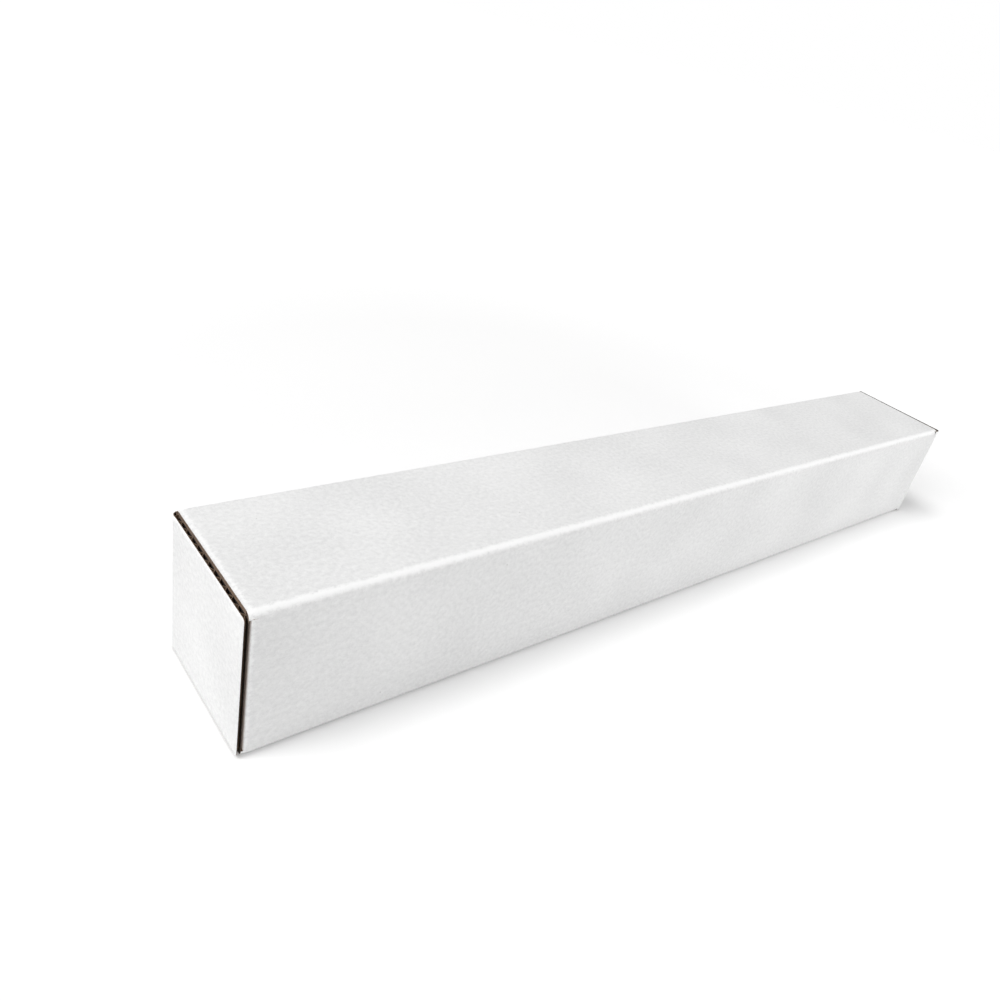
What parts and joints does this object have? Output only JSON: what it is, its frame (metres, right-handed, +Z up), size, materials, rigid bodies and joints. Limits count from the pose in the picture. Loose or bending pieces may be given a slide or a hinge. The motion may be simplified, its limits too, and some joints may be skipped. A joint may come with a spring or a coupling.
{
  "type": "square mailing tube",
  "caption": "Long square mailing tube of white corrugated board, glued along one side, with a hinged flap that closes each end over a folded-in dust flap.",
  "frame": {"origin": "under the middle of the base, at the bottom centre of the bounding box", "axes": "+X along the tube from the left end to the right end, +Y from the front wall to the rear wall, +Z up from the base"},
  "size_m": [0.6156, 0.0822, 0.0822],
  "materials": {
    "white_liner": "matt bleached paper liner with a faint mottle",
    "kraft_board": "matt brown kraft paper, on the inside and at the raw edges"
  },
  "bodies": {
    "tube": {"tube_body": "white_liner"},
    "left_flap": {"left_end_flap": "white_liner"},
    "right_flap": {"right_end_flap": "white_liner"}
  },
  "joints": [
    {"name": "left_flap_hinge", "type": "hinge", "parent": "tube", "child": "left_flap", "pos_m": [-0.3078, 0.0411, 0.0411], "axis": [0, 0, -1], "range_deg": [0, 180]},
    {"name": "right_flap_hinge", "type": "hinge", "parent": "tube", "child": "right_flap", "pos_m": [0.3078, -0.0411, 0.0411], "axis": [0, 0, -1], "range_deg": [0, 180]}
  ]
}
